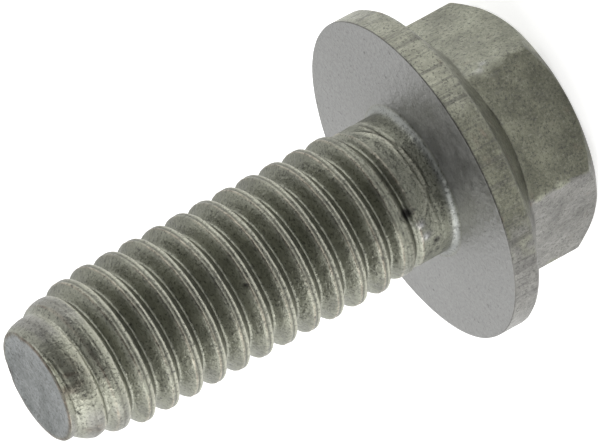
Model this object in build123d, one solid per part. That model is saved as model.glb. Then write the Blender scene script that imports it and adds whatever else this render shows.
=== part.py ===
from build123d import *
import math
import os

# Hex flange bolt, forged and thread-rolled in one piece, 3/8-16 UNC by 1 inch.
# Millimetres. +Z runs along the shank from the head to the point, and the
# origin is the centre of the bearing face under the flange. The bolt stands
# on the flat top of its head, its lowest face. +X passes through a hex corner.

# --- driving dimensions ---------------------------------------------------
# Shank and thread
shank_length = 25.45          # bearing face to the end of the point
major_dia = 9.32              # over the crests
pitch = 1.5875                # 16 threads to the inch, right hand, one start
crest_width = 0.20            # flat on top of a full crest
flank_angle = 30.0            # each flank from the plane across the axis
flank_depth = 0.42            # how far down the straight flanks reach
thread_depth = 0.87           # crest to the bottom of the groove
thread_phase = 302.8          # turn of the groove about Z, in degrees

# Point: two tapers that lead the thread in, and a shallow dish in the end
point_drop = 1.31             # radius lost at the end of the point
point_taper_drop = 0.48       # radius lost where the steep taper meets the gentle one
point_taper_length = 2.40
lead_in_length = 4.80         # both tapers together
point_rim = 0.30              # flat rim around the dish in the end
point_dish_depth = 0.12
point_dish_wall = 0.35        # width of the sloping edge of the dish

# Neck between the flange and the thread
neck_relief = 0.26            # the neck is this much smaller in radius than the crests
neck_length = 1.90            # bearing face to where the groove has faded out
groove_fade_length = 2.60     # stretch over which the groove reaches full depth
crest_fade_start = 3.30       # bearing face to where the crest starts to grow
crest_fade_length = 1.10      # stretch over which it grows to its full height
neck_fillet = 0.44            # size of the fillet, built as two tapers

# Flange and hex head
flange_dia = 19.96
flange_rim = 1.64             # straight edge of the flange
flange_cone_angle = 32.0      # top of the flange, from the bearing face
flange_edge_break = 0.12      # upper edge of the rim
across_flats = 13.65
head_height = 8.00            # bearing face to the top of the head
crown_dia = 13.20             # flat on top of the head
crown_drop = 1.05             # how far the coned top falls away at the corners
corner_round = 0.45           # rounding along the six upright corners

# --- values worked out from them ------------------------------------------
major_radius = major_dia / 2
neck_radius = major_radius - neck_relief
point_radius = major_radius - point_drop
flange_radius = flange_dia / 2
flank_slope = math.tan(math.radians(flank_angle))
root_radius = major_radius - thread_depth
corner_radius = across_flats / 2 / math.cos(math.radians(30))
cone_slope = math.tan(math.radians(flange_cone_angle))
cutter_overlap = 0.05         # how far a cutting shape stands out of the steel


def shank():
    """The shank before its thread: neck with its fillet, body and point."""
    end = shank_length
    fillet_middle = neck_fillet * (1 - math.sqrt(0.5))
    dish_edge = point_radius - point_rim
    with BuildSketch(Plane.XZ) as half:
        with BuildLine():
            Polyline(
                (0, -flange_rim),
                (neck_radius + neck_fillet, -flange_rim),
                (neck_radius + neck_fillet, 0),
                (neck_radius + fillet_middle, fillet_middle),
                (neck_radius, neck_fillet),
                (neck_radius, crest_fade_start),
                (major_radius, crest_fade_start + crest_fade_length),
                (major_radius, end - lead_in_length),
                (major_radius - point_taper_drop, end - point_taper_length),
                (point_radius, end),
                (dish_edge, end),
                (dish_edge - point_dish_wall, end - point_dish_depth),
                (0, end - point_dish_depth),
                (0, -flange_rim),
            )
        make_face()
    return revolve(half.sketch, axis=Axis.Z)


def flange():
    """The round flange: flat bearing face, straight rim and coned top."""
    cone_top = -flange_rim - flange_radius * cone_slope
    with BuildSketch(Plane.XZ) as half:
        with BuildLine():
            Polyline(
                (0, 0),
                (flange_radius, 0),
                (flange_radius, -flange_rim),
                (0, cone_top),
                (0, 0),
            )
        make_face()
        upper_edge = half.vertices().sort_by(Axis.X)[-2:].sort_by(Axis.Y)[0]
        chamfer(upper_edge, length=flange_edge_break)
    return revolve(half.sketch, axis=Axis.Z)


def hexagon():
    """The hex, upset with soft upright corners and a coned crown."""
    with BuildSketch(Plane.XY.offset(-head_height)) as outline:
        RegularPolygon(radius=corner_radius, side_count=6)
        fillet(outline.vertices(), radius=corner_round)
    prism = extrude(outline.sketch, amount=head_height - flange_rim / 2)
    crown_radius = crown_dia / 2
    reach = corner_radius + cutter_overlap
    with BuildSketch(Plane.XZ) as half:
        with BuildLine():
            Polyline(
                (0, 0),
                (0, -head_height),
                (crown_radius, -head_height),
                (reach, -head_height + crown_drop),
                (reach, 0),
                (0, 0),
            )
        make_face()
    return prism & revolve(half.sketch, axis=Axis.Z)


def groove_section():
    """Section of the thread groove, in a plane through the axis."""
    top_radius = major_radius + cutter_overlap
    flank_radius = major_radius - flank_depth
    half_gap = (pitch - crest_width) / 2
    half_top = half_gap + cutter_overlap * flank_slope
    half_flank = half_gap - flank_depth * flank_slope
    with BuildSketch(Plane.XZ) as section:
        with BuildLine():
            Polyline(
                (root_radius, 0),
                (flank_radius, half_flank),
                (top_radius, half_top),
                (top_radius, -half_top),
                (flank_radius, -half_flank),
                (root_radius, 0),
            )
        make_face()
    return section.sketch


def fade_core():
    """Round core that the groove climbs out on where it nears the neck."""
    reach = major_radius + 2 * cutter_overlap
    rise = (reach - root_radius) / (neck_radius - root_radius)
    top = neck_length + groove_fade_length
    corner = top - groove_fade_length * rise
    with BuildSketch(Plane.XZ) as half:
        with BuildLine():
            Polyline(
                (0, top),
                (root_radius, top),
                (reach, corner),
                (reach, corner - pitch),
                (0, corner - pitch),
                (0, top),
            )
        make_face()
    return revolve(half.sketch, axis=Axis.Z)


def grooves():
    """The thread groove as half turns of one helix, each a cutter by itself."""
    half_turn = pitch / 2
    path = Helix(pitch, half_turn, root_radius)
    piece = sweep(groove_section(), path=path, is_frenet=True)
    core = fade_core()
    core_top = neck_length + groove_fade_length
    count = math.ceil((shank_length + pitch - neck_length) / half_turn)
    cutters = []
    for index in range(count):
        height = neck_length - half_turn + index * half_turn
        cutter = Location((0, 0, height), (0, 0, thread_phase + 180 * index)) * piece
        if height - half_turn < core_top:
            cutter = cutter - core
        cutters.append(cutter)
    return cutters


def bolt():
    """The whole bolt: head and shank in one, with the thread cut last."""
    blank = flange() + hexagon() + shank()
    return blank.cut(*grooves())


def main():
    os.makedirs("parts", exist_ok=True)
    export_step(bolt(), "parts/flange_bolt.step")


main()
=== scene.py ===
import itertools
import math
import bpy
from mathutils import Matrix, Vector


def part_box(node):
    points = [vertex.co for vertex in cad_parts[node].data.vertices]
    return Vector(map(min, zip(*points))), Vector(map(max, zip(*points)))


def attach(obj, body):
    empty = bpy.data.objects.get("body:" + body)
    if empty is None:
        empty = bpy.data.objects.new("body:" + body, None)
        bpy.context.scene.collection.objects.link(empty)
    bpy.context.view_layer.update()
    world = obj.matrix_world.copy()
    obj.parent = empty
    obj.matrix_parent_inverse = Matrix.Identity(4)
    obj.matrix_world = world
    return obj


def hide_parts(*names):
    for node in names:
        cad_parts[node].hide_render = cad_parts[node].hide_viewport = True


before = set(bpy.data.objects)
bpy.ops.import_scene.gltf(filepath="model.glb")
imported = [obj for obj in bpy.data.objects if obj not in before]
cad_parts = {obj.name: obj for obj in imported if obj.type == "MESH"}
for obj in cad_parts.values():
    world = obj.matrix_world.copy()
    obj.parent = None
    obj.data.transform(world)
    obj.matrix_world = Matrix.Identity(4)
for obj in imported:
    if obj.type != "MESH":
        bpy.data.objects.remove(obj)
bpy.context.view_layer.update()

from types import SimpleNamespace

import bpy
import numpy as np
from mathutils import Matrix, Vector

# Hex flange bolt, dull zinc over rolled steel. Sizes are in millimetres and
# angles in degrees until the mesh is written. +Z runs from head to point and
# the bearing face lies at Z = 0, as in the frame.

MM = 0.001
NODE = "flange_bolt"
node_low, node_high = (np.array(corner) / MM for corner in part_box(NODE))

# --- sizes, the first three read from the frame -----------------------------
SHANK_END = node_high[2]
HEAD_TOP = node_low[2]
FLANGE_RADIUS = node_high[0]
CREST_RADIUS = 4.66
ROOT_RADIUS = 3.79
ROOT_ROUND = 0.16             # roundness of the bottom of the groove
NECK_RADIUS = 4.36
NECK_FILLET = 0.44
PITCH = 1.5875
GROOVE_ANGLE = 302.8          # where the groove crosses GROOVE_HEIGHT
GROOVE_HEIGHT = 1.106
ROLL_START = 0.9              # bearing face to the first trace of the groove
ROLL_FADE = 3.4               # over which the groove reaches its full depth
ROLL_POWER = 0.9
ROLL_TRACE = 0.02             # groove's bottom above the neck where it starts
FLANK_SLOPE = math.tan(math.radians(60))
CREST_HALF = 0.15             # half the domed crest, in pitches
CREST_RISE = (2.4, 4.4)       # heights between which the crests leave the neck
CREST_BLEND = 0.05            # roundness of the shoulders
DOME_DROP = 0.055             # how far the shoulders lie below the crest line
FLANGE_RIM = 1.64
CONE_SLOPE = math.tan(math.radians(32))
RIM_BREAK = 0.12
BEARING_BREAK = 0.05
EDGE_SET = 0.015              # middle of the bearing face's broken edge
ACROSS_FLATS = 13.65
HEX_CORNER = ACROSS_FLATS / 2 / math.cos(math.pi / 6)
CORNER_ROUND = 0.30
CROWN_RADIUS = 6.60
CROWN_DROP = 1.05
CROWN_POWER = 1.25

# The last turns by the point, whose crests stay wide and low.
WIDE_TURNS = 3.0
WIDE_EASE = 2.0               # turns over which they widen
WIDE_TAPER = 0.6              # how much of the point's taper each crest follows
WIDE_DOME_DROP = 0.22
WIDE_BLEND = 0.15
WIDE_DEPTH = 0.08             # least depth of the groove between them
POINT_TURNS = (0, 0.15, 0.5, 0.8, 1.0, 1.5, 2.0, 2.5, 3.0, 3.5)
POINT_SHARES = (0.735, 0.75, 0.785, 0.83, 0.868, 0.895, 0.94, 0.972, 0.997, 1)

# The dished end: shares of its radius, and how far each lies below the tip.
POINT_EDGE = 0.10
DISH_DEPTH = 0.125
DISH_ROWS = (
    (0.985, 0.03), (0.955, 0.005), (0.92, 0.0), (0.88, 0.015), (0.84, 0.05),
    (0.79, 0.08), (0.70, 0.10), (0.56, 0.11), (0.40, 0.115), (0.22, 0.12),
)

# Relief left by rolling: how far from the groove, how wide and how high.
WANDER = 0.012                # of the helix, in pitches
LIP_DEPTH = 0.12              # depth of groove at which its lips are full
LIP_DRIFT = 0.03
HEAD_LIP_SET = 0.075
HEAD_LIP_WIDTH = 0.085
HEAD_LIP_HEIGHT = 0.024
TIP_LIP_SET = 0.07
TIP_LIP_WIDTH = 0.04
TIP_LIP_HEIGHT = 0.022
SEAM_SET = 0.03
SEAM_WIDTH = 0.055
SEAM_DEPTH = 0.030
LAST_RIDGE_ANGLE = -27.0      # where the burr comes nearest to the head
LAST_RIDGE_HEIGHT = 1.10
BURR_HEIGHT = 0.07
BURR_STEEP = 0.06             # its width towards the head
BURR_GENTLE = 0.15            # its width towards the point
BURR_STEP = -0.13             # from the burr to the painted shade beside it
BURR_TURN = 60                # degrees over which it climbs by its bend
BURR_BEND_AHEAD = 1.1
BURR_BEND_BEHIND = 3.6
BURR_START = (-38, -12)       # degrees over which it comes up
BURR_END = (78, 45)           # degrees over which it goes down again
UNDERCUT_SHADE_IN = (-0.10, 0.12)   # from the groove's middle to the painted shade's full depth
UNDERCUT_SHADE_OUT = (0.0, 0.10)    # from the groove's edge to the same

# Wear. Blemishes are (angle, height, size) places on a cylinder.
RAGGED_DENTS = ((-48, 2.85, 0.42),)
SMALL_DENTS = ((-82, 1.35, 0.22), (-36, 13.4, 0.13))
SHANK_CHIPS = ((-60, 2.25, 0.25), (-72, 2.05, 0.28))
SHANK_STAINS = ((-36, SHANK_END - 0.2, 1.3), (-95, SHANK_END - 1.4, 0.5))
CORNER_CHIPS = ((3, -4.3, 0.55),)
END_NOTCHES = ((126, SHANK_END, 0.42),)
END_PITS = ((78, SHANK_END, 0.13),)
END_PIT_RADIUS = 1.12
NOTCH_DEPTH = 0.10
DENT_DEPTH = 0.07
CHIP_HEIGHT = 0.07
CHIP_RELIEF = 0.008
DRIFT_RELIEF = 0.010
END_RELIEF = 0.012
COARSE_RELIEF = 0.012
FINE_RELIEF = 0.006
BEARING_RELIEF = 0.4          # share of the relief left on the bearing face
WORN_SIDE_ANGLE = -35.0       # middle of the paler side of the last turns
WORN_SIDE_BORDER = (40, 15)   # degrees from that middle
# degrees from the paler side over which the last turns' pinker tone, darkened as painted shade,
# begins
PINK_SHADED_SIDE_BORDER = (25, 50)
UPPER_START = (15, 65)        # degrees over which the painted shade on the threads' upper side begins
UPPER_END = (160, 130)        # degrees over which it ends
VALLEY_WIDTH = (0.5, 0.1)     # from the groove's middle
VALLEY_START = (1.5, 3.5)     # heights over which the valleys come up
SHADED_FLAT_ANGLE = -30.0       # middle of the flat painted darkest, as shade on the flat facing the camera
PINK_SHADED_FLAT_ANGLE = -90.0       # middle of the flat with a pinker coat, its tone darkened as painted shade
# middle of the painted shade on the rim's side facing the camera
SHADED_RIM_ANGLE = -40.0
HALF_FLAT = 30
HALF_SHADED_RIM = 26
FLAT_BORDER = (0, 1.5)
FLAT_UNEVEN = 2.2             # degrees by which a flat's border strays
RIM_BORDER = (-6, 8)
RIM_UNEVEN = 8
STAIN_RANGE = (0.22, 0.45)
END_LEVEL = 0.6               # lowers the end's relief so that none stands proud
END_EDGE = (1.0, 0.9)         # shares of the radius where the end's tone begins
DIRT_EDGE = (0.90, 0.97)

# Cell size and seed of each noise.
WANDER_NOISE = (1.1, 1)
CHIP_NOISE = (0.35, 2)
DRIFT_NOISE = (1.7, 3)
END_NOISE = (0.8, 5)
DIRT_NOISE = (0.5, 6)
COARSE_NOISE = (1.6, 7)
FINE_NOISE = (0.5, 8)
BORDER_NOISE = (0.45, 11)
SLOW_BORDER_NOISE = (1.5, 12)
STAIN_NOISE = (0.8, 13)
SMALL_STAIN_NOISE = (0.3, 14)

# --- mesh density ------------------------------------------------------------
COLUMNS = 216                 # round the axis
CORNER_CROWDING = 0.6         # how much closer the columns stand at a hex corner
PITCH_ROWS = 20               # along one pitch of thread
ROOT_CROWDING = 0.35          # how much closer the rows stand at the root
EDGE_GAP = 0.01               # between the strip's rows and its end rings
FILLET_GAP = 0.15             # from the fillet to the strip's lower end
FILLET_STEPS = 8
BEARING_ROWS = (0.01, 0.03, 0.07, 0.14, 0.24, 0.35, 0.46, 0.57, 0.68, 0.78, 0.87, 0.94, 0.98, 1.0)
RIM_ROWS = (0.03, 0.1, 0.22, 0.36, 0.5, 0.64, 0.78, 0.9, 0.97, 1.0)
CONE_ROWS = (0.0, 0.03, 0.1, 0.2, 0.32, 0.45, 0.58, 0.7, 0.8, 0.88, 0.94, 0.975)
HEX_ROWS = (
    0.02, 0.05, 0.1, 0.17, 0.25, 0.33, 0.41, 0.49,
    0.57, 0.65, 0.73, 0.8, 0.86, 0.91, 0.95, 0.98,
)
CROWN_ROWS = (0.02, 0.07, 0.15, 0.27, 0.42, 0.58, 0.73, 0.86, 0.95, 1.0)
TOP_ROWS = (0.985, 0.95, 0.88, 0.78, 0.66, 0.54, 0.42, 0.3, 0.18, 0.08)

# What the mesh tells the finish about each of its points, from 0 to 1.
MARKS = (
    "painted_ridge_highlight", "tip_ridge", "seam", "undercut_shade", "valley", "tip_turns", "fillet", "bearing",
    "rim", "hex", "end_face", "stain", "pit", "chip", "painted_shade", "pinker_coat_and_shade",
)


def smooth_step(value, low, high):
    """0 below low, 1 above high and smooth between them."""
    part = np.clip((value - low) / (high - low), 0, 1)
    return part * part * (3 - 2 * part)


def soft_min(a, b, width):
    """The smaller of two values, rounded over where they cross."""
    share = np.clip(0.5 + 0.5 * (b - a) / width, 0, 1)
    return b + (a - b) * share - width * share * (1 - share)


def bump(value, centre, width):
    """A smooth bump, 1 at its centre."""
    return np.exp(-(((value - centre) / width) ** 2))


def ragged(value, level, gain):
    """A noise lifted to a level and cut to the range from 0 to 1."""
    return np.clip(level + gain * value, 0, 1)


def noise(points, cell, seed):
    """Smooth value noise from -1 to 1 on a lattice of that cell size."""
    side = 32
    lattice = np.random.RandomState(seed).uniform(-1, 1, (side, side, side))
    scaled = points / cell
    base = np.floor(scaled).astype(int)
    part = scaled - base
    part = part * part * (3 - 2 * part)
    total = np.zeros(points.shape[:-1])
    for corner in itertools.product((0, 1), repeat=3):
        weight = np.prod(np.where(corner, part, 1 - part), axis=-1)
        where = (base + corner) % side
        total += weight * lattice[where[..., 0], where[..., 1], where[..., 2]]
    return total


def column_angles():
    """Angles of the columns in radians, closer together at the hex corners."""
    share = np.arange(COLUMNS) / COLUMNS * 6
    sector = np.floor(share)
    inside = share - sector
    warped = inside - CORNER_CROWDING * np.sin(2 * np.pi * inside) / (2 * np.pi)
    return (sector + warped) * np.pi / 3


def degrees_from(angle, centre):
    """Degrees, from -180 to 180, between angles in radians and a centre."""
    return np.mod(np.degrees(angle) - centre + 180, 360) - 180


def on_cylinder(angle, radius, height):
    """Points from cylindrical coordinates."""
    across = radius * np.cos(angle)
    along = radius * np.sin(angle)
    return np.stack([across, along, height + 0 * angle], axis=-1)


def spots(points, radius, places):
    """1 at each (angle, height, size) place on a cylinder, fading out."""
    total = np.zeros(points.shape[:-1])
    for angle, height, size in places:
        centre = on_cylinder(np.array(math.radians(angle)), radius, height)
        total += bump(np.linalg.norm(points - centre, axis=-1), 0, size)
    return total


# --- shank -------------------------------------------------------------------
def turn_phase(angle, height):
    """Pitches from the groove's middle: whole numbers in the groove."""
    turn = (angle - math.radians(GROOVE_ANGLE)) / (2 * math.pi)
    return (height - GROOVE_HEIGHT) / PITCH - turn


def thread_place(angle, height):
    """Where points of the shank lie on the thread, and their noises."""
    points = on_cylinder(angle, CREST_RADIUS, height)
    phase = turn_phase(angle, height) + WANDER * noise(points, *WANDER_NOISE)
    from_crest = phase - np.floor(phase) - 0.5
    crest_height = height - from_crest * PITCH
    to_end = SHANK_END - crest_height
    return SimpleNamespace(
        height=height,
        points=points,
        chips=noise(points, *CHIP_NOISE),
        drift=noise(points, *DRIFT_NOISE),
        from_crest=from_crest,
        from_groove=(0.5 - np.abs(from_crest)) * PITCH,
        to_end=to_end,
        risen=smooth_step(crest_height, *CREST_RISE),
        wide=smooth_step(WIDE_TURNS * PITCH - to_end, 0, WIDE_EASE * PITCH),
    )


def thread_profile(at):
    """The plain thread's radius, its depth, and half its groove's width."""
    follow = WIDE_TAPER * at.wide
    to_end = at.to_end * (1 - follow) + (SHANK_END - at.height) * follow
    full_top = CREST_RADIUS * np.interp(to_end / PITCH, POINT_TURNS, POINT_SHARES)
    land = NECK_RADIUS + (full_top - NECK_RADIUS) * at.risen
    rolled = np.clip((at.height - ROLL_START) / ROLL_FADE, 0, 1) ** ROLL_POWER
    bottom = NECK_RADIUS + ROLL_TRACE + (ROOT_RADIUS - NECK_RADIUS - ROLL_TRACE) * rolled
    bottom = np.minimum(bottom, land - WIDE_DEPTH * at.wide + ROLL_TRACE)
    groove = bottom + np.hypot(at.from_groove * FLANK_SLOPE, ROOT_ROUND) - ROOT_ROUND
    narrow_dome = DOME_DROP * (at.from_crest / CREST_HALF) ** 2
    wide_dome = WIDE_DOME_DROP * (2 * at.from_crest) ** 2
    dome = at.risen * (narrow_dome * (1 - at.wide) + wide_dome * at.wide)
    radius = soft_min(groove, land - dome, CREST_BLEND + WIDE_BLEND * at.wide)
    depth = np.maximum(land - DOME_DROP * at.risen - bottom, 0)
    edge = np.sqrt((depth + ROOT_ROUND) ** 2 - ROOT_ROUND**2) / FLANK_SLOPE
    return radius, depth, edge


def rolled_lips(at, depth, edge):
    """The lips on both sides of the groove, and the painted shade below the first."""
    formed = smooth_step(depth, 0.0, LIP_DEPTH)
    head_side = np.where(at.from_crest < 0, 1.0, 0.0)
    head_lip = bump(at.from_groove, edge + HEAD_LIP_SET, HEAD_LIP_WIDTH) * head_side * formed
    broken = np.clip(0.7 + 0.7 * at.drift + 0.5 * at.chips, 0, 1)
    tip_lip = bump(at.from_groove, edge + TIP_LIP_SET + LIP_DRIFT * at.drift, TIP_LIP_WIDTH)
    tip_lip = tip_lip * (1 - head_side) * broken * formed
    below = smooth_step(at.from_groove, *UNDERCUT_SHADE_IN)
    below = below * smooth_step(edge - at.from_groove, *UNDERCUT_SHADE_OUT)
    undercut_shade = below * head_side * formed * (1 - 0.5 * at.wide)
    return head_lip, tip_lip, undercut_shade


def last_ridge(angle, height):
    """The burr at the head end of the rolled spiral, and the painted shade in the crease by it."""
    off = degrees_from(angle, LAST_RIDGE_ANGLE)
    bend = np.where(off > 0, BURR_BEND_AHEAD, BURR_BEND_BEHIND)
    beyond = height - LAST_RIDGE_HEIGHT - bend * (off / BURR_TURN) ** 2
    reach = smooth_step(off, *BURR_START) * smooth_step(off, *BURR_END)
    burr = bump(beyond, 0, np.where(beyond > 0, BURR_GENTLE, BURR_STEEP))
    return reach * burr, reach * bump(beyond, BURR_STEP, BURR_STEEP)


def shank_wear(at):
    """Dents, chips and stains on the shank."""
    dent = spots(at.points, CREST_RADIUS, RAGGED_DENTS) * ragged(at.chips, 0.5, 1.5)
    dent = dent + spots(at.points, CREST_RADIUS, SMALL_DENTS)
    chip = np.clip(spots(at.points, CREST_RADIUS, SHANK_CHIPS), 0, 1)
    stain = np.clip(spots(at.points, CREST_RADIUS, SHANK_STAINS), 0, 1)
    return dent, chip, stain * ragged(at.chips, 0.4, 1.3)


def shank_surface(angle, height):
    """Radius of the shank and the marks that its finish follows."""
    at = thread_place(angle, height)
    radius, depth, edge = thread_profile(at)
    head_lip, tip_lip, undercut_shade = rolled_lips(at, depth, edge)
    seam = bump(at.from_crest * PITCH, SEAM_SET + LIP_DRIFT * at.drift, SEAM_WIDTH) * at.risen
    burr, crease_shade = last_ridge(angle, height)
    dent, chip, stain = shank_wear(at)
    radius += (1 - 0.6 * at.wide) * (HEAD_LIP_HEIGHT * head_lip + TIP_LIP_HEIGHT * tip_lip)
    radius -= SEAM_DEPTH * seam * (1 - 0.7 * at.wide)
    radius += BURR_HEIGHT * burr + CHIP_RELIEF * at.chips + DRIFT_RELIEF * at.drift
    radius += CHIP_HEIGHT * chip - DENT_DEPTH * dent
    around = degrees_from(angle, 0)
    # The threads' upper side, where shade is painted: a darker tone, with a weaker ridge highlight
    # and valley tone.
    upper = smooth_step(around, *UPPER_START) * smooth_step(around, *UPPER_END)
    upper = upper * at.risen * (1 - at.wide)
    off_worn = np.abs(degrees_from(angle, WORN_SIDE_ANGLE))
    in_groove = smooth_step(at.from_groove, *VALLEY_WIDTH) * smooth_step(height, *VALLEY_START)
    marks = {
        # painted highlight: a pale line along the head-side lip and the burr, weaker on the upper
        # side
        "painted_ridge_highlight": np.maximum(head_lip, burr) * (1 - 0.75 * upper),
        "tip_ridge": tip_lip,
        # dark seam line on the crests, and painted shade in the crease beside the burr
        "seam": np.maximum(seam * (1 - 0.6 * at.wide), crease_shade),
        # painted shade under the head-side lip
        "undercut_shade": undercut_shade,
        "valley": in_groove * (1 - 0.7 * upper),
        "tip_turns": at.wide * smooth_step(off_worn, *WORN_SIDE_BORDER),
        # pinker coat on the last turns away from their paler side, darkened as painted shade
        "pinker_coat_and_shade": 0.8 * at.wide * smooth_step(off_worn, *PINK_SHADED_SIDE_BORDER),
        # painted shade on the threads' upper side
        "painted_shade": 0.75 * upper,
        "stain": stain,
        "chip": chip,
        "pit": np.clip(1.4 * dent, 0, 1),
    }
    return radius, marks


class Skin:
    """Collects rings and strips of points with their marks, and their faces."""

    def __init__(self):
        self.points = []
        self.marks = {name: [] for name in MARKS}
        self.faces = []
        self.size = 0

    def add(self, points, marks):
        """Adds points of any shape and returns their numbers in that shape."""
        count = points[..., 0].size
        self.points.append(points.reshape(-1, 3))
        for name in MARKS:
            value = marks.get(name, 0)
            self.marks[name].append(np.broadcast_to(value, points.shape[:-1]).reshape(-1))
        numbers = np.arange(self.size, self.size + count).reshape(points.shape[:-1])
        self.size += count
        return numbers

    def quad(self, corners):
        """Adds a face, leaving out corners that fall together."""
        kept = []
        for corner in corners:
            if corner not in kept:
                kept.append(int(corner))
        if len(kept) > 2:
            self.faces.append(kept)

    def join(self, low, high):
        """Faces between two rings of numbers."""
        for i in range(COLUMNS):
            j = (i + 1) % COLUMNS
            self.quad((low[i], low[j], high[j], high[i]))

    def close(self, ring, height, marks):
        """Fills a ring with a fan round a point on the axis."""
        centre = self.add(np.array([[0, 0, height]]), marks)
        self.join(ring, np.repeat(centre, COLUMNS))


def strip_heights(angle, low, high):
    """Heights of the strip's rows, one line of them for each column."""
    shares = np.linspace(0, 1, PITCH_ROWS, endpoint=False)
    crowded = shares + ROOT_CROWDING * np.sin(2 * np.pi * shares) / (2 * np.pi)
    first = math.floor(turn_phase(2 * math.pi, low)) - 1
    last = math.ceil(turn_phase(0, high)) + 2
    phases = np.concatenate([whole + crowded for whole in range(first, last)])
    turn = (angle - math.radians(GROOVE_ANGLE)) / (2 * math.pi)
    return GROOVE_HEIGHT + PITCH * (phases[None, :] + turn[:, None])


def thread_strip(skin, angle, low, high):
    """The helical strip of rows between two heights. Returns its end rings."""
    heights = strip_heights(angle, low, high)
    inside = (heights > low + EDGE_GAP) & (heights < high - EDGE_GAP)
    rings = []
    for edge in (low, high):
        radius, marks = shank_surface(angle, np.full(COLUMNS, edge))
        rings.append(skin.add(on_cylinder(angle, radius, edge), marks))
    numbers = np.where(heights < (low + high) / 2, rings[0][:, None], rings[1][:, None])
    wide = np.broadcast_to(angle[:, None], heights.shape)
    radius, marks = shank_surface(wide[inside], heights[inside])
    numbers[inside] = skin.add(on_cylinder(wide[inside], radius, heights[inside]), marks)
    rows = heights.shape[1]
    for i in range(COLUMNS):
        j = (i + 1) % COLUMNS
        shift = PITCH_ROWS if j == 0 else 0
        for row in range(rows - 1):
            after = min(row + shift, rows - 1)
            beyond = min(row + shift + 1, rows - 1)
            skin.quad((numbers[i, row], numbers[j, after], numbers[j, beyond], numbers[i, row + 1]))
    return rings


def end_face(skin, angle, ring):
    """The dished end of the point, with a worn, uneven edge."""
    radius, _ = shank_surface(angle, np.full(COLUMNS, SHANK_END - POINT_EDGE))
    for share, drop in DISH_ROWS:
        flat = on_cylinder(angle, radius * share, SHANK_END - drop)
        flat[:, 2] += END_RELIEF * (noise(flat, *END_NOISE) - END_LEVEL)
        notch = spots(flat, radius.mean(), END_NOTCHES) + spots(flat, END_PIT_RADIUS, END_PITS)
        flat[:, 2] -= NOTCH_DEPTH * notch
        dirt = smooth_step(share, *DIRT_EDGE) * ragged(noise(flat, *DIRT_NOISE), 0.75, 1)
        marks = {
            "end_face": smooth_step(share, *END_EDGE),
            "pit": np.clip(notch, 0, 1),
            "stain": dirt,
        }
        inner = skin.add(flat, marks)
        skin.join(ring, inner)
        ring = inner
    skin.close(ring, SHANK_END - DISH_DEPTH, {"end_face": 1})


# --- head --------------------------------------------------------------------
def hex_radius(angle):
    """Distance from the axis to the side of the hex, its corners rounded."""
    off = np.mod(angle, np.pi / 3) - np.pi / 6
    apothem = ACROSS_FLATS / 2
    flat = apothem / np.cos(off)
    round_centre = (apothem - CORNER_ROUND) / math.cos(math.pi / 6)
    to_corner = np.pi / 6 - np.abs(off)
    across = round_centre * np.sin(to_corner)
    outwards = np.sqrt(np.maximum(CORNER_ROUND**2 - across**2, 0))
    rounded = round_centre * np.cos(to_corner) + outwards
    return np.where(across < CORNER_ROUND / 2, rounded, flat)


def crown_height(radius):
    """How far the rounded crown lies below the top of the head."""
    share = np.clip((radius - CROWN_RADIUS) / (HEX_CORNER - CROWN_RADIUS), 0, 1)
    return CROWN_DROP * share**CROWN_POWER


def flange_rows():
    """Rows of (radius, height, marks) from the neck to the top of the rim."""
    rows = []
    for step in range(1, FILLET_STEPS + 1):
        share = step / FILLET_STEPS
        turn = share * math.pi / 2
        out = NECK_RADIUS + NECK_FILLET * (1 - math.cos(turn))
        up = NECK_FILLET * (1 - math.sin(turn))
        rows.append((out, up, {"fillet": math.sin(2 * turn), "bearing": 0.5 * share}))
    inner = NECK_RADIUS + NECK_FILLET
    outer = FLANGE_RADIUS - BEARING_BREAK
    for share in BEARING_ROWS:
        rows.append((inner + (outer - inner) * share, 0, {"bearing": 1}))
    edge_marks = {"rim": 0.5, "bearing": 0.5, "pit": 0.75}
    rows.append((FLANGE_RADIUS - EDGE_SET, -EDGE_SET, edge_marks))
    rim_height = FLANGE_RIM - RIM_BREAK - BEARING_BREAK
    for share in RIM_ROWS:
        rows.append((FLANGE_RADIUS, -BEARING_BREAK - rim_height * share, {"rim": 1}))
    return rows


def hex_rows(angle):
    """Rows of (radius, height, marks) from the rim to the top of the head."""
    rows = []
    cone_edge = FLANGE_RADIUS - RIM_BREAK
    side = hex_radius(angle)
    cone_top = -FLANGE_RIM - (FLANGE_RADIUS - side) * CONE_SLOPE
    for share in CONE_ROWS:
        out = cone_edge + (side - cone_edge) * share
        rows.append((out, -FLANGE_RIM - (FLANGE_RADIUS - out) * CONE_SLOPE, {"rim": 1}))
    crown_edge = HEAD_TOP + crown_height(side)
    for share in HEX_ROWS:
        rows.append((side, cone_top + (crown_edge - cone_top) * share, {"hex": 1}))
    for share in CROWN_ROWS:
        out = side + (CROWN_RADIUS - side) * share
        rows.append((out, HEAD_TOP + crown_height(out), {"hex": 1}))
    for share in TOP_ROWS:
        rows.append((CROWN_RADIUS * share, HEAD_TOP, {"hex": 1}))
    return rows


def stretch(angle, centre, half, uneven, border):
    """1 within half a stretch of its centre, with an uneven, soft border."""
    return smooth_step(half + uneven - np.abs(degrees_from(angle, centre)), *border)


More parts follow.
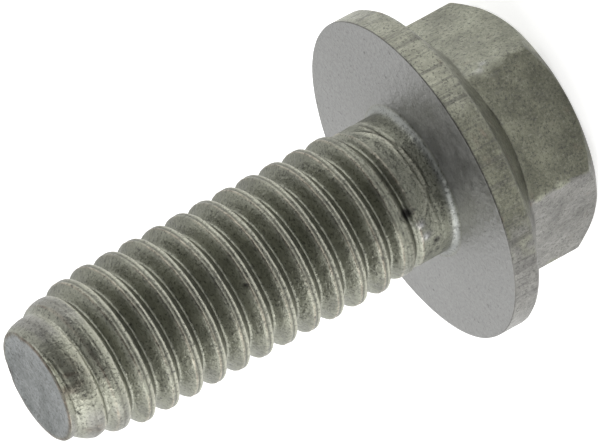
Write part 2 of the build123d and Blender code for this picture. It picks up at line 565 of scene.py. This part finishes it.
def head_finish(flat, angle, marks):
    """Adds the painted shade, the pinker coat with its painted shade, the chip and stains to the
    marks.
    """
    on_hex = marks.get("hex", 0)
    on_rim = marks.get("rim", 0)
    uneven = noise(flat, *BORDER_NOISE) + 0.6 * noise(flat, *SLOW_BORDER_NOISE)
    flat_edge = FLAT_UNEVEN * uneven
    rim_edge = RIM_UNEVEN * uneven
    # painted shade on the flat and the rim that face the camera
    shaded_flat = stretch(angle, SHADED_FLAT_ANGLE, HALF_FLAT, flat_edge, FLAT_BORDER)
    # a pinker coat on the lower flat and rim, darkened there as painted shade
    pink_shaded_flat = stretch(angle, PINK_SHADED_FLAT_ANGLE, HALF_FLAT, flat_edge, FLAT_BORDER)
    shaded_rim = stretch(angle, SHADED_RIM_ANGLE, HALF_SHADED_RIM, rim_edge, RIM_BORDER)
    pink_shaded_rim = stretch(angle, PINK_SHADED_FLAT_ANGLE, HALF_FLAT, rim_edge, RIM_BORDER)
    both = noise(flat, *STAIN_NOISE) * noise(flat, *SMALL_STAIN_NOISE)
    stained = smooth_step(both, *STAIN_RANGE)
    return marks | {
        "painted_shade": shaded_flat * on_hex + shaded_rim * on_rim,
        "pinker_coat_and_shade": pink_shaded_flat * on_hex + pink_shaded_rim * on_rim,
        "chip": spots(flat, HEX_CORNER, CORNER_CHIPS) * ragged(uneven, 0.5, 1.5),
        "stain": 0.8 * stained * (on_rim + 0.4 * on_hex),
    }


def head(skin, angle, ring):
    """The fillet, flange and hex, joined on below the shank's lowest ring."""
    for out, up, marks in flange_rows() + hex_rows(angle):
        flat = on_cylinder(angle, out + 0 * angle, up)
        relief = COARSE_RELIEF * noise(flat, *COARSE_NOISE) + FINE_RELIEF * noise(flat, *FINE_NOISE)
        if marks.get("bearing", 0) > 0.5:
            relief = relief * BEARING_RELIEF
        away = flat / np.maximum(np.linalg.norm(flat, axis=-1, keepdims=True), 0.01)
        flat = flat + away * (relief - COARSE_RELIEF - FINE_RELIEF)[:, None]
        flat[:, 2] = np.maximum(flat[:, 2], HEAD_TOP)
        inner = skin.add(flat, head_finish(flat, angle, marks))
        skin.join(inner, ring)
        ring = inner
    skin.close(ring[::-1], HEAD_TOP, {"hex": 1})


def bolt_mesh():
    """The whole bolt as one closed mesh with its marks as attributes."""
    angle = column_angles()
    skin = Skin()
    low, high = thread_strip(skin, angle, NECK_FILLET + FILLET_GAP, SHANK_END - POINT_EDGE)
    end_face(skin, angle, high)
    head(skin, angle, low)
    mesh = bpy.data.meshes.new("hex_flange_bolt")
    mesh.from_pydata((np.concatenate(skin.points) * MM).tolist(), [], skin.faces)
    for name in MARKS:
        layer = mesh.attributes.new(name, "FLOAT", "POINT")
        layer.data.foreach_set("value", np.concatenate(skin.marks[name]).astype(np.float32))
    mesh.validate()
    mesh.shade_smooth()
    return mesh


# --- finish ------------------------------------------------------------------
class Nodes:
    """Short hand for building a material's node tree."""

    def __init__(self, name):
        self.material = bpy.data.materials.new(name)
        self.material.use_nodes = True
        self.tree = self.material.node_tree
        self.shader = self.tree.nodes["Principled BSDF"]

    def node(self, kind, **settings):
        """A new node with its settings."""
        made = self.tree.nodes.new(kind)
        for key, value in settings.items():
            setattr(made, key, value)
        return made

    def link(self, start, end):
        """A wire from an output to an input."""
        self.tree.links.new(start, end)

    def mark(self, name, strength=1.0):
        """One of the mesh's marks, weakened to a strength."""
        made = self.node("ShaderNodeAttribute", attribute_name=name)
        return self.maths("MULTIPLY", made.outputs["Fac"], strength)

    def noise(self, scale, detail=4.0, roughness=0.6, stretch=(1, 1, 1)):
        """Noise in the object's own space, with its scale per metre."""
        place = self.node("ShaderNodeTexCoord")
        mapping = self.node("ShaderNodeMapping")
        mapping.inputs["Scale"].default_value = stretch
        self.link(place.outputs["Object"], mapping.inputs["Vector"])
        made = self.node("ShaderNodeTexNoise")
        made.inputs["Scale"].default_value = scale
        made.inputs["Detail"].default_value = detail
        made.inputs["Roughness"].default_value = roughness
        self.link(mapping.outputs["Vector"], made.inputs["Vector"])
        return made.outputs["Fac"]

    def ramp(self, value, low, high, to_low=0.0, to_high=1.0):
        """A smooth step from one value to another."""
        made = self.node("ShaderNodeMapRange", interpolation_type="SMOOTHSTEP")
        span = {"From Min": low, "From Max": high, "To Min": to_low, "To Max": to_high}
        for name, number in span.items():
            made.inputs[name].default_value = number
        self.link(value, made.inputs["Value"])
        return made.outputs["Result"]

    def maths(self, operation, a, b):
        """A sum, product or the like of outputs and numbers."""
        made = self.node("ShaderNodeMath", operation=operation)
        for place, value in enumerate((a, b)):
            if isinstance(value, (int, float)):
                made.inputs[place].default_value = value
            else:
                self.link(value, made.inputs[place])
        return made.outputs["Value"]

    def mix(self, share, a, b):
        """A mix of two colours, each an output or a tuple."""
        made = self.node("ShaderNodeMix", data_type="RGBA")
        for name, value in (("Factor", share), ("A", a), ("B", b)):
            socket = [s for s in made.inputs if s.name == name and s.enabled][0]
            if isinstance(value, tuple):
                socket.default_value = (*value, 1)
            else:
                self.link(value, socket)
        return [s for s in made.outputs if s.enabled][0]


def grey(level, green=0.0, warm=0.0):
    """A linear grey with a little green or warmth in it."""
    return (level * (1 + warm), level * (1 + green), level * (1 - warm - 0.5 * green))


# Coats with a dark and a pale tone, as (mark, strength, noise range, tones).
MOTTLED = (
    ("hex", 1.0, (0.30, 0.72), grey(0.19, 0.10, 0.08), grey(0.36, 0.10, 0.08)),
    ("rim", 1.0, (0.30, 0.70), grey(0.19, 0.09, 0.08), grey(0.33, 0.09, 0.08)),
    # painted shade: darker olive on the threads' upper side and on the flat and rim facing the
    # camera
    ("painted_shade", 0.85, (0.30, 0.72), grey(0.09, 0.12, 0.11), grey(0.19, 0.12, 0.11)),
    # a pinker coat, its darker tone partly painted shade
    ("pinker_coat_and_shade", 1.0, (0.30, 0.70), grey(0.15, 0.02, 0.04), grey(0.29, 0.02, 0.04)),
)
SHANK_DARK = grey(0.21, 0.09, 0.07)
SHANK_PALE = grey(0.35, 0.09, 0.07)
BEARING_DARK = grey(0.33, 0.01, 0.01)
BEARING_PALE = grey(0.39, 0.01, 0.01)
END_DARK = (0.20, 0.215, 0.21)
END_PALE = (0.31, 0.325, 0.325)

# Plain tones on the thread, some of them painted shade and painted highlight, as (mark, strength,
# tone).
THREAD_TONES = (
    ("valley", 0.65, grey(0.36, 0.09, 0.07)),
    ("tip_turns", 0.7, grey(0.48, 0.09, 0.08)),
    # painted shade under the head-side lip
    ("undercut_shade", 0.6, grey(0.07, 0.06, 0.10)),
    # dark seam line, and painted shade in the crease beside the burr
    ("seam", 0.85, grey(0.08, 0.08, 0.12)),
    # painted highlight along the head-side lip and the burr
    ("painted_ridge_highlight", 0.85, grey(0.50, 0.07, 0.08)),
)
RUST_DARK = grey(0.12, -0.04, 0.30)
RUST_PALE = grey(0.46, 0.03, 0.16)
FILLET_TONE = (0.34, 0.36, 0.37)
STAIN_DARK = grey(0.06, 0.0, 0.3)
STAIN_PALE = grey(0.20, 0.0, 0.22)
CHIP_TONE = grey(0.50, 0.0, 0.0)
PIT_TONE = grey(0.025, 0.0, 0.1)
SCRATCH_TONE = grey(0.08, 0.0, 0.05)
SCUFF_TONE = grey(0.12, 0.05, 0.06)
SPECK_TONE = grey(0.09, 0.05, 0.05)
FLECK_DARK = grey(0.07, 0.04, 0.04)
FLECK_PALE = grey(0.50, 0.04, 0.04)
GRAIN_TONE = grey(0.08)

# Noises as scale per metre, detail, roughness and stretch.
CLOUDS = (620, 6, 0.7)
BLOTCHES = (560, 8, 0.8)
SPECKS = (1900, 3, 0.6)
GRAIN = (4200, 3, 0.6)
FLECKS = (6500, 4, 0.75)
SCRATCHES = (3000, 4, 0.7, (1, 1, 0.05))
SCUFFS = (1500, 7, 0.8, (1, 1, 0.5))

# Ranges of those noises, some with the shares that they lead to.
SHANK_RANGE = (0.36, 0.64)
BEARING_RANGE = (0.35, 0.66)
END_RANGE = (0.4, 0.62)
WORN_RANGE = (0.35, 0.6)
SCRATCH_RANGE = (0.51, 0.61, 0, 0.5)
SCUFF_RANGE = (0.56, 0.66, 0, 0.6)
SPECK_RANGE = (0.64, 0.72, 0, 0.55)
DARK_FLECK_RANGE = (0.54, 0.61, 0, 0.75)
PALE_FLECK_RANGE = (0.36, 0.44, 0.16, 0)
GRAIN_RANGE = (0.3, 0.7, 0.18, 0.0)
ROUGHNESS_RANGE = (0.3, 0.7, 0.36, 0.50)
FLECKS_OFF_BEARING = 0.6
METALLIC = 0.85
BUMP_STRENGTH = 0.6
BUMP_HEIGHT = 0.1


def head_coat(m, tone, cloudy):
    """The mottled coats of head and flange, with scratches and scuffs."""
    blotch = m.noise(*BLOTCHES)
    for name, strength, span, dark, pale in MOTTLED:
        coat = m.mix(m.ramp(blotch, *span), dark, pale)
        tone = m.mix(m.mark(name, strength), tone, coat)
    scratch = m.ramp(m.noise(*SCRATCHES), *SCRATCH_RANGE)
    tone = m.mix(m.maths("MULTIPLY", m.mark("rim"), scratch), tone, SCRATCH_TONE)
    scuff = m.ramp(m.noise(*SCUFFS), *SCUFF_RANGE)
    tone = m.mix(m.maths("MULTIPLY", m.mark("hex"), scuff), tone, SCUFF_TONE)
    bearing = m.mix(m.ramp(cloudy, *BEARING_RANGE), BEARING_DARK, BEARING_PALE)
    tone = m.mix(m.mark("bearing"), tone, bearing)
    end = m.mix(m.ramp(blotch, *END_RANGE), END_DARK, END_PALE)
    return m.mix(m.mark("end_face"), tone, end)


def thread_coat(m, tone, speck):
    """Ridges, seams and valleys of the thread, the fillet and the blemishes."""
    for name, strength, plain in THREAD_TONES:
        tone = m.mix(m.mark(name, strength), tone, plain)
    worn = m.ramp(speck, *WORN_RANGE)
    tone = m.mix(m.mark("tip_ridge", 0.85), tone, m.mix(worn, RUST_DARK, RUST_PALE))
    tone = m.mix(m.mark("fillet", 0.5), tone, FILLET_TONE)
    tone = m.mix(m.mark("stain"), tone, m.mix(worn, STAIN_DARK, STAIN_PALE))
    tone = m.mix(m.mark("chip"), tone, CHIP_TONE)
    return m.mix(m.mark("pit"), tone, PIT_TONE)


def specks(m, tone, speck, fine):
    """Dark and pale specks of three sizes, fewer on the bearing face."""
    tone = m.mix(m.ramp(speck, *SPECK_RANGE), tone, SPECK_TONE)
    fleck = m.noise(*FLECKS)
    matt = m.maths("SUBTRACT", 1, m.mark("bearing", FLECKS_OFF_BEARING))
    dark = m.maths("MULTIPLY", m.ramp(fleck, *DARK_FLECK_RANGE), matt)
    tone = m.mix(dark, tone, FLECK_DARK)
    pale = m.maths("MULTIPLY", m.ramp(fleck, *PALE_FLECK_RANGE), matt)
    tone = m.mix(pale, tone, FLECK_PALE)
    return m.mix(m.ramp(fine, *GRAIN_RANGE), tone, GRAIN_TONE)


def zinc():
    """Dull mottled zinc: olive on hex and crests, browner where it is worn, with painted shade and
    highlights.
    """
    m = Nodes("dull_zinc")
    cloudy = m.noise(*CLOUDS)
    fine = m.noise(*GRAIN)
    speck = m.noise(*SPECKS)
    tone = m.mix(m.ramp(cloudy, *SHANK_RANGE), SHANK_DARK, SHANK_PALE)
    tone = head_coat(m, tone, cloudy)
    tone = thread_coat(m, tone, speck)
    tone = specks(m, tone, speck, fine)
    m.link(tone, m.shader.inputs["Base Color"])
    m.shader.inputs["Metallic"].default_value = METALLIC
    m.link(m.ramp(cloudy, *ROUGHNESS_RANGE), m.shader.inputs["Roughness"])
    relief = m.maths("ADD", m.maths("MULTIPLY", fine, 0.5), m.maths("ADD", cloudy, speck))
    bumps = m.node("ShaderNodeBump")
    bumps.inputs["Strength"].default_value = BUMP_STRENGTH
    bumps.inputs["Distance"].default_value = BUMP_HEIGHT * MM
    m.link(relief, bumps.inputs["Height"])
    m.link(bumps.outputs["Normal"], m.shader.inputs["Normal"])
    return m.material


def dress_bolt():
    """Puts the detailed bolt in place of the plain node."""
    bolt = bpy.data.objects.new("hex_flange_bolt", bolt_mesh())
    bpy.context.scene.collection.objects.link(bolt)
    bolt.data.materials.append(zinc())
    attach(bolt, "root")
    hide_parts(NODE)


# --- stage -------------------------------------------------------------------
VIEW_AZIMUTH = math.radians(-27.164)
VIEW_ELEVATION = math.radians(20.491)
VIEW_ROLL = math.radians(-118.62)
VIEW_DISTANCE = 553.77
VIEW_AIM = Vector((0.463, 0.903, 7.111))
VIEW_REACH = 5                # metres, to the far side of the floor
LENS = 593.5

LAMP_DISTANCE = 160
LAMP_LEAN = 0.1               # how far the lamps lean towards the camera
UPPER_LAMP_SIZE = 150
UPPER_LAMP_WATTS = 0.25
LOWER_LAMP_SIZE = 130
LOWER_LAMP_WATTS = 0.12

WHITE = (1, 1, 1, 1)
TENT_SPAN = {"From Min": 0.2, "From Max": 0.8, "To Min": 1.05, "To Max": 0.06}

FLOOR_HALF = 2.0              # metres
FLOOR_DARK = (0.80, 0.80, 0.79)
FLOOR_PALE = (0.84, 0.84, 0.83)
FLOOR_ROUGHNESS = 0.9
FLOOR_GLOW = 0.7


def camera_axes():
    """Right, up and backward directions of the camera."""
    flat = math.cos(VIEW_ELEVATION)
    along = flat * math.cos(VIEW_AZIMUTH)
    across = flat * math.sin(VIEW_AZIMUTH)
    back = Vector((along, across, math.sin(VIEW_ELEVATION)))
    level_up = (Vector((0, 0, 1)) - back * back.z).normalized()
    level_right = level_up.cross(back)
    up = level_up * math.cos(VIEW_ROLL) - level_right * math.sin(VIEW_ROLL)
    return up.cross(back), up, back


def add_camera():
    """A long lens, turned so that the shank runs to the lower left."""
    right, up, back = camera_axes()
    camera = bpy.data.objects.new("camera", bpy.data.cameras.new("camera"))
    camera.data.lens = LENS
    camera.data.clip_end = VIEW_REACH
    turn = Matrix((right, up, back)).transposed().to_4x4()
    camera.matrix_world = Matrix.Translation((VIEW_AIM + back * VIEW_DISTANCE) * MM) @ turn
    bpy.context.scene.collection.objects.link(camera)
    bpy.context.scene.camera = camera


def add_lamp(name, direction, size, power):
    """A square soft lamp that shines on the middle of the bolt."""
    lamp = bpy.data.objects.new(name, bpy.data.lights.new(name, "AREA"))
    lamp.data.size = size * MM
    lamp.data.energy = power
    away = direction.normalized()
    lamp.location = (VIEW_AIM + away * LAMP_DISTANCE) * MM
    lamp.rotation_euler = away.to_track_quat("Z", "Y").to_euler()
    bpy.context.scene.collection.objects.link(lamp)


def light_stage():
    """A light tent: white all round, darker on the side that it opens to."""
    _, up, back = camera_axes()
    add_lamp("above", back * LAMP_LEAN + up, UPPER_LAMP_SIZE, UPPER_LAMP_WATTS)
    add_lamp("below", back * LAMP_LEAN - up, LOWER_LAMP_SIZE, LOWER_LAMP_WATTS)
    world = bpy.data.worlds.new("tent")
    bpy.context.scene.world = world
    world.use_nodes = True
    tree = world.node_tree
    place = tree.nodes.new("ShaderNodeTexCoord")
    towards = tree.nodes.new("ShaderNodeVectorMath")
    towards.operation = "DOT_PRODUCT"
    towards.inputs[1].default_value = back
    tree.links.new(place.outputs["Generated"], towards.inputs[0])
    opening = tree.nodes.new("ShaderNodeMapRange")
    opening.interpolation_type = "SMOOTHSTEP"
    for name, number in TENT_SPAN.items():
        opening.inputs[name].default_value = number
    tree.links.new(towards.outputs["Value"], opening.inputs["Value"])
    tree.links.new(opening.outputs["Result"], tree.nodes["Background"].inputs["Strength"])
    tree.nodes["Background"].inputs["Color"].default_value = WHITE


def floor_finish():
    """Matt, pale and a little uneven, and white where it is looked at."""
    m = Nodes("pale_floor")
    m.link(m.mix(m.noise(40, 3), FLOOR_DARK, FLOOR_PALE), m.shader.inputs["Base Color"])
    m.shader.inputs["Roughness"].default_value = FLOOR_ROUGHNESS
    seen = m.node("ShaderNodeLightPath").outputs
    looked_at = m.maths("MAXIMUM", seen["Is Camera Ray"], seen["Is Glossy Ray"])
    looked_at = m.maths("MAXIMUM", looked_at, seen["Is Transmission Ray"])
    m.shader.inputs["Emission Color"].default_value = WHITE
    glow = m.maths("MULTIPLY", looked_at, FLOOR_GLOW)
    m.link(glow, m.shader.inputs["Emission Strength"])
    return m.material


def add_floor():
    """The floor that the head stands on."""
    mesh = bpy.data.meshes.new("floor")
    signs = ((-1, -1), (1, -1), (1, 1), (-1, 1))
    corners = [(x * FLOOR_HALF, y * FLOOR_HALF, 0) for x, y in signs]
    mesh.from_pydata(corners, [], [(0, 1, 2, 3)])
    floor = bpy.data.objects.new("floor", mesh)
    floor.location.z = HEAD_TOP * MM
    bpy.context.scene.collection.objects.link(floor)
    floor.data.materials.append(floor_finish())


dress_bolt()
add_camera()
light_stage()
add_floor()
bpy.context.scene.view_settings.view_transform = "Standard"
